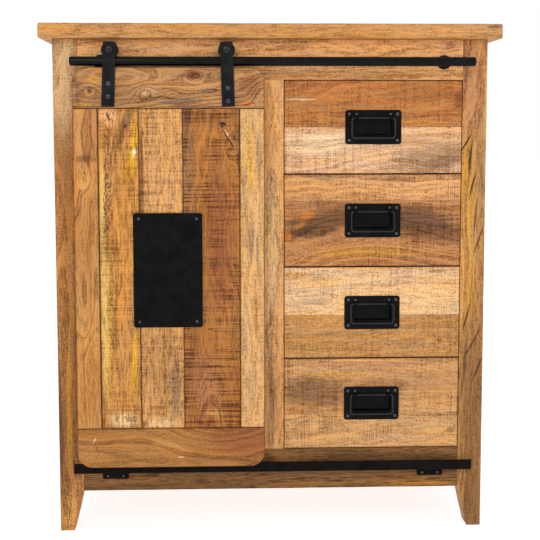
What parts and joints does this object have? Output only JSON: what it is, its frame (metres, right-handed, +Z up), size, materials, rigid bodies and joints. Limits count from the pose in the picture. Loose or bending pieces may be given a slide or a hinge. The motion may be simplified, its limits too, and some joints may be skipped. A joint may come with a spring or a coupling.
{
  "type": "sideboard",
  "caption": "Wooden sideboard with a barn door that rolls along a steel rod over a cupboard, and a stack of drawers with recessed bail pulls beside it",
  "frame": {"origin": "On the floor, at the middle of the width and of the depth of the whole piece, fittings included.", "axes": "+X runs to the right of somebody who stands in front of it, towards the drawers; +Y runs to the back; +Z is up. The drawers open towards -Y. The door is stored at the left end of its travel, over the cupboard."},
  "size_m": [0.804, 0.422, 0.9],
  "materials": {
    "top_wood": "satin",
    "frame_wood": "satin",
    "door_wood": "satin",
    "drawer_wood": "satin",
    "inside_wood": "matte",
    "black_iron": "satin"
  },
  "bodies": {
    "carcass": {"top_board": "top_wood", "front_left_post": "frame_wood", "front_right_post": "frame_wood", "rear_posts": "frame_wood", "front_top_rail": "frame_wood", "front_bottom_rail": "frame_wood", "centre_stile": "frame_wood", "carcass_rails": "frame_wood", "side_panels": "frame_wood", "back_panel": "inside_wood", "centre_partition": "inside_wood", "bottom_board": "inside_wood", "cupboard_shelf": "inside_wood", "shelf_cleats": "inside_wood", "drawer_runners": "inside_wood", "rail_rod": "black_iron", "rail_standoffs": "black_iron", "guide_bar": "black_iron", "guide_brackets": "black_iron"},
    "door": {"door_top_rail": "door_wood", "door_bottom_rail": "door_wood", "door_stiles": "door_wood", "door_planks": "door_wood", "plaque": "black_iron", "plaque_screws": "black_iron", "left_hanger_strap": "black_iron", "right_hanger_strap": "black_iron", "hanger_bolts": "black_iron", "wheel_axles": "black_iron", "door_guides": "black_iron"},
    "left_wheel": {"left_wheel": "black_iron"},
    "right_wheel": {"right_wheel": "black_iron"},
    "drawer_1": {"drawer_1_front": "drawer_wood", "drawer_1_box_sides": "inside_wood", "drawer_1_box_back": "inside_wood", "drawer_1_bottom": "inside_wood", "drawer_1_pull_plate": "black_iron", "drawer_1_pull_fixings": "black_iron"},
    "bail_1": {"drawer_1_bail": "black_iron"},
    "drawer_2": {"drawer_2_front": "drawer_wood", "drawer_2_box_sides": "inside_wood", "drawer_2_box_back": "inside_wood", "drawer_2_bottom": "inside_wood", "drawer_2_pull_plate": "black_iron", "drawer_2_pull_fixings": "black_iron"},
    "bail_2": {"drawer_2_bail": "black_iron"},
    "drawer_3": {"drawer_3_front": "drawer_wood", "drawer_3_box_sides": "inside_wood", "drawer_3_box_back": "inside_wood", "drawer_3_bottom": "inside_wood", "drawer_3_pull_plate": "black_iron", "drawer_3_pull_fixings": "black_iron"},
    "bail_3": {"drawer_3_bail": "black_iron"},
    "drawer_4": {"drawer_4_front": "drawer_wood", "drawer_4_box_sides": "inside_wood", "drawer_4_box_back": "inside_wood", "drawer_4_bottom": "inside_wood", "drawer_4_pull_plate": "black_iron", "drawer_4_pull_fixings": "black_iron"},
    "bail_4": {"drawer_4_bail": "black_iron"}
  },
  "joints": [
    {"name": "door_slide", "type": "slide", "parent": "carcass", "child": "door", "axis": [-1, 0, 0], "range_m": [-0.35, 0]},
    {"name": "left_wheel_turn", "type": "hinge", "parent": "door", "child": "left_wheel", "pos_m": [-0.2785, -0.193, 0.8534], "axis": [0, 1, 0], "continuous": true},
    {"name": "right_wheel_turn", "type": "hinge", "parent": "door", "child": "right_wheel", "pos_m": [-0.0785, -0.193, 0.8534], "axis": [0, 1, 0], "continuous": true},
    {"name": "drawer_1_slide", "type": "slide", "parent": "carcass", "child": "drawer_1", "axis": [0, -1, 0], "range_m": [0, 0.26]},
    {"name": "bail_1_lift", "type": "hinge", "parent": "drawer_1", "child": "bail_1", "pos_m": [0.17925, -0.1718, 0.73755], "axis": [-1, 0, 0], "range_deg": [0, 90]},
    {"name": "drawer_2_slide", "type": "slide", "parent": "carcass", "child": "drawer_2", "axis": [0, -1, 0], "range_m": [0, 0.26]},
    {"name": "bail_2_lift", "type": "hinge", "parent": "drawer_2", "child": "bail_2", "pos_m": [0.17925, -0.1718, 0.57305], "axis": [-1, 0, 0], "range_deg": [0, 90]},
    {"name": "drawer_3_slide", "type": "slide", "parent": "carcass", "child": "drawer_3", "axis": [0, -1, 0], "range_m": [0, 0.26]},
    {"name": "bail_3_lift", "type": "hinge", "parent": "drawer_3", "child": "bail_3", "pos_m": [0.17925, -0.1718, 0.40855], "axis": [-1, 0, 0], "range_deg": [0, 90]},
    {"name": "drawer_4_slide", "type": "slide", "parent": "carcass", "child": "drawer_4", "axis": [0, -1, 0], "range_m": [0, 0.26]},
    {"name": "bail_4_lift", "type": "hinge", "parent": "drawer_4", "child": "bail_4", "pos_m": [0.17925, -0.1718, 0.24405], "axis": [-1, 0, 0], "range_deg": [0, 90]}
  ],
  "couplings": [
    {"joint": "left_wheel_turn", "follows": "door_slide", "rad_per_m": -95.238},
    {"joint": "right_wheel_turn", "follows": "door_slide", "rad_per_m": -95.238}
  ]
}
